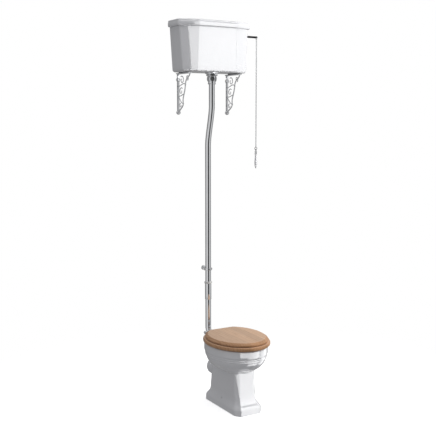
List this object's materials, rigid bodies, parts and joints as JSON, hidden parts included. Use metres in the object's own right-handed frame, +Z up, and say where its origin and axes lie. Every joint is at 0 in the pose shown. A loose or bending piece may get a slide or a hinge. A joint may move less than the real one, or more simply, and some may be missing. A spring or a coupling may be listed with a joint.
{
  "type": "high level toilet",
  "caption": "High-level toilet: ceramic pan on a pedestal, hinged wooden seat and lid, wall-hung cistern on scroll brackets, long flush pipe, lever and pull chain.",
  "frame": {"origin": "on the floor, midway between the two floor-fixing holes of the pan", "axes": "+Z up, -Y is the front of the pan, +Y towards the wall, +X to the right as seen from the front"},
  "size_m": [0.5555, 0.615, 2.223],
  "materials": {
    "glazed_ceramic": "glossy white glaze",
    "oak": "light oak, satin varnish",
    "chrome": "polished chrome plate",
    "dark_metal": "dark polished metal",
    "rubber": "matt rubber",
    "white_plastic": "moulded plastic",
    "brass": "machined brass"
  },
  "bodies": {
    "pan_and_cistern": {"pan": "glazed_ceramic", "hinge_posts": "chrome", "hinge_washers": "rubber", "hinge_wing_nuts": "white_plastic", "hinge_rod": "chrome", "cistern_tank": "glazed_ceramic", "bracket_left": "chrome", "bracket_right": "chrome", "bracket_pads": "rubber", "siphon_body": "white_plastic", "siphon_seal": "rubber", "siphon_backnut": "chrome", "flush_union_nut": "chrome", "flush_pipe_upper": "chrome", "flush_pipe_lower": "chrome", "pipe_coupling": "chrome", "pipe_collar": "white_plastic", "pipe_clip": "chrome", "clip_rosette": "chrome", "flush_cone": "rubber", "lever_fulcrum": "chrome", "lever_pin": "chrome", "valve_body": "brass", "valve_washer": "rubber", "valve_backnut": "brass"},
    "seat": {"seat_ring": "oak", "seat_hinge_straps": "chrome", "seat_strap_screws": "chrome", "seat_buffers": "rubber"},
    "lid": {"seat_lid": "oak", "lid_hinge_straps": "chrome", "lid_strap_screws": "chrome", "lid_buffers": "rubber"},
    "cistern_cover": {"cistern_lid": "glazed_ceramic"},
    "lever": {"flush_lever": "dark_metal"},
    "chain": {"chain_hook": "chrome", "pull_chain": "chrome", "pull_ring": "dark_metal"},
    "handle": {"handle_cap": "chrome", "pull_handle": "glazed_ceramic", "handle_finial": "chrome"},
    "siphon_lift": {"siphon_piston": "white_plastic", "siphon_flap": "white_plastic", "lift_link": "chrome"},
    "float": {"float_arm": "brass", "float_ball": "white_plastic"},
    "inlet_piston": {"valve_piston": "white_plastic"}
  },
  "joints": [
    {"name": "seat_hinge", "type": "hinge", "parent": "pan_and_cistern", "child": "seat", "pos_m": [0, 0.158, 0.4095], "axis": [-1, 0, 0], "range_deg": [0, 95]},
    {"name": "lid_hinge", "type": "hinge", "parent": "seat", "child": "lid", "pos_m": [0, 0.158, 0.4095], "axis": [1, 0, 0], "range_deg": [-102, 0]},
    {"name": "cistern_lid_lift", "type": "slide", "parent": "pan_and_cistern", "child": "cistern_cover", "axis": [0, 0, 1], "range_m": [0, 0.15]},
    {"name": "flush_lever_pivot", "type": "hinge", "parent": "pan_and_cistern", "child": "lever", "pos_m": [0.19, 0.243, 2.148], "axis": [0, 1, 0], "range_deg": [0, 20], "stiffness_Nm_per_rad": 1, "springref_deg": -28.65},
    {"name": "chain_hang", "type": "hinge", "parent": "lever", "child": "chain", "pos_m": [0.306, 0.243, 2.148], "axis": [0, 1, 0], "range_deg": [-20, 0]},
    {"name": "handle_swing", "type": "hinge", "parent": "chain", "child": "handle", "pos_m": [0.306, 0.243, 1.4772], "axis": [1, 0, 0], "range_deg": [-35, 35]},
    {"name": "siphon_lift_slide", "type": "slide", "parent": "pan_and_cistern", "child": "siphon_lift", "axis": [0, 0, 1], "range_m": [0, 0.041]},
    {"name": "float_arm_pivot", "type": "hinge", "parent": "pan_and_cistern", "child": "float", "pos_m": [0.014, 0.306, 2.112], "axis": [0, 1, 0], "range_deg": [-40, 0], "stiffness_Nm_per_rad": 0.5, "springref_deg": 28.65},
    {"name": "valve_piston_slide", "type": "slide", "parent": "pan_and_cistern", "child": "inlet_piston", "axis": [1, 0, 0], "range_m": [-0.0031, 0]}
  ],
  "couplings": [
    {"joint": "chain_hang", "follows": "flush_lever_pivot", "ratio": -1},
    {"joint": "siphon_lift_slide", "follows": "flush_lever_pivot", "m_per_rad": 0.1167},
    {"joint": "valve_piston_slide", "follows": "float_arm_pivot", "m_per_rad": 0.0043}
  ]
}
